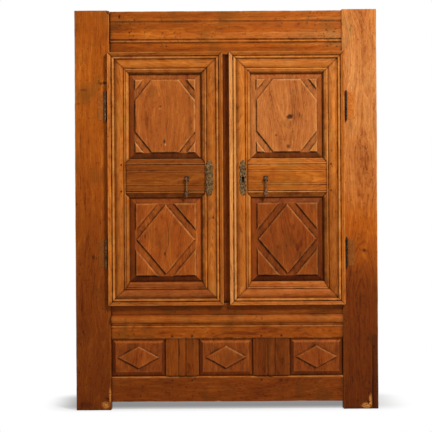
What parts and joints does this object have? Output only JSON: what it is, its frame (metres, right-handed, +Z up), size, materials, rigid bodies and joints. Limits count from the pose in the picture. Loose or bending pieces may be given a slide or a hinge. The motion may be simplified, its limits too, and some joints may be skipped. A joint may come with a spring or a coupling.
{
  "type": "trastero cabinet",
  "caption": "Tall free-standing cupboard with panelled doors on barrel hinges, drop pulls, a lock, shelves and a panelled base.",
  "frame": {"origin": "bottom centre of the bounding box, on the floor", "axes": "+Z up, +X to the right seen from the front, the doors face -Y"},
  "size_m": [1.36, 0.5155, 1.8],
  "materials": {
    "frame_wood": "waxed old pine, worn edges, darker towards the floor",
    "door_wood": "waxed old pine mouldings with rubbed crests and dark recesses",
    "panel_wood": "waxed red-brown pine panels with hand-tool marks",
    "case_wood": "old pine, thinly waxed outside and dry inside",
    "peg_wood": "dark end grain",
    "wrought_iron": "hand-forged, pitted, brown patina"
  },
  "bodies": {
    "root": {"front_post_left": "frame_wood", "front_post_right": "frame_wood", "header_rail": "frame_wood", "sill_rail": "frame_wood", "base_rail": "frame_wood", "base_muntin_left": "frame_wood", "base_muntin_right": "frame_wood", "centre_post": "frame_wood", "base_panel_left": "panel_wood", "base_panel_middle": "panel_wood", "base_panel_right": "panel_wood", "rear_post_left": "case_wood", "rear_post_right": "case_wood", "side_rails_left": "case_wood", "side_rails_right": "case_wood", "side_panels_left": "case_wood", "side_panels_right": "case_wood", "back_rails": "case_wood", "back_boards": "case_wood", "top_boards": "case_wood", "floor_boards": "case_wood", "shelf_lower": "case_wood", "shelf_middle": "case_wood", "shelf_upper": "case_wood", "shelf_cleats": "case_wood", "muntin_pegs": "peg_wood", "board_nails": "wrought_iron", "hinge_post_leaves": "wrought_iron", "hinge_pins": "wrought_iron"},
    "left_door": {"left_hinge_stile": "door_wood", "left_meeting_stile": "door_wood", "left_top_rail": "door_wood", "left_middle_rail": "door_wood", "left_bottom_rail": "door_wood", "left_upper_panel": "panel_wood", "left_lower_panel": "panel_wood", "left_rim_moulding": "door_wood", "left_door_pegs": "peg_wood", "left_hinge_leaves": "wrought_iron", "left_escutcheon": "wrought_iron", "left_pull_staple": "wrought_iron", "left_bolt_guides": "wrought_iron"},
    "left_pull": {"left_pull_drop": "wrought_iron"},
    "right_door": {"right_hinge_stile": "door_wood", "right_meeting_stile": "door_wood", "right_top_rail": "door_wood", "right_middle_rail": "door_wood", "right_bottom_rail": "door_wood", "right_upper_panel": "panel_wood", "right_lower_panel": "panel_wood", "right_rim_moulding": "door_wood", "right_door_pegs": "peg_wood", "right_hinge_leaves": "wrought_iron", "right_escutcheon": "wrought_iron", "right_pull_staple": "wrought_iron", "lock_case": "wrought_iron"},
    "right_pull": {"right_pull_drop": "wrought_iron"},
    "lock_bolt": {"lock_bolt": "wrought_iron"},
    "left_inner_bolt": {"left_inner_bolt": "wrought_iron"}
  },
  "joints": [
    {"name": "left_door_swing", "type": "hinge", "parent": "root", "child": "left_door", "pos_m": [-0.541, -0.22825, 1.0345], "axis": [0, 0, 1], "range_deg": [-110, 0]},
    {"name": "right_door_swing", "type": "hinge", "parent": "root", "child": "right_door", "pos_m": [0.541, -0.22825, 1.0345], "axis": [0, 0, 1], "range_deg": [0, 110]},
    {"name": "left_pull_swing", "type": "hinge", "parent": "left_door", "child": "left_pull", "pos_m": [-0.1773, -0.24925, 1.038], "axis": [-1, 0, 0], "range_deg": [0, 85]},
    {"name": "right_pull_swing", "type": "hinge", "parent": "right_door", "child": "right_pull", "pos_m": [0.1773, -0.24925, 1.038], "axis": [-1, 0, 0], "range_deg": [0, 85]},
    {"name": "lock_bolt_throw", "type": "slide", "parent": "right_door", "child": "lock_bolt", "axis": [-1, 0, 0], "range_m": [0, 0.014]},
    {"name": "left_bolt_slide", "type": "slide", "parent": "left_door", "child": "left_inner_bolt", "axis": [0, 0, 1], "range_m": [0, 0.018]}
  ]
}
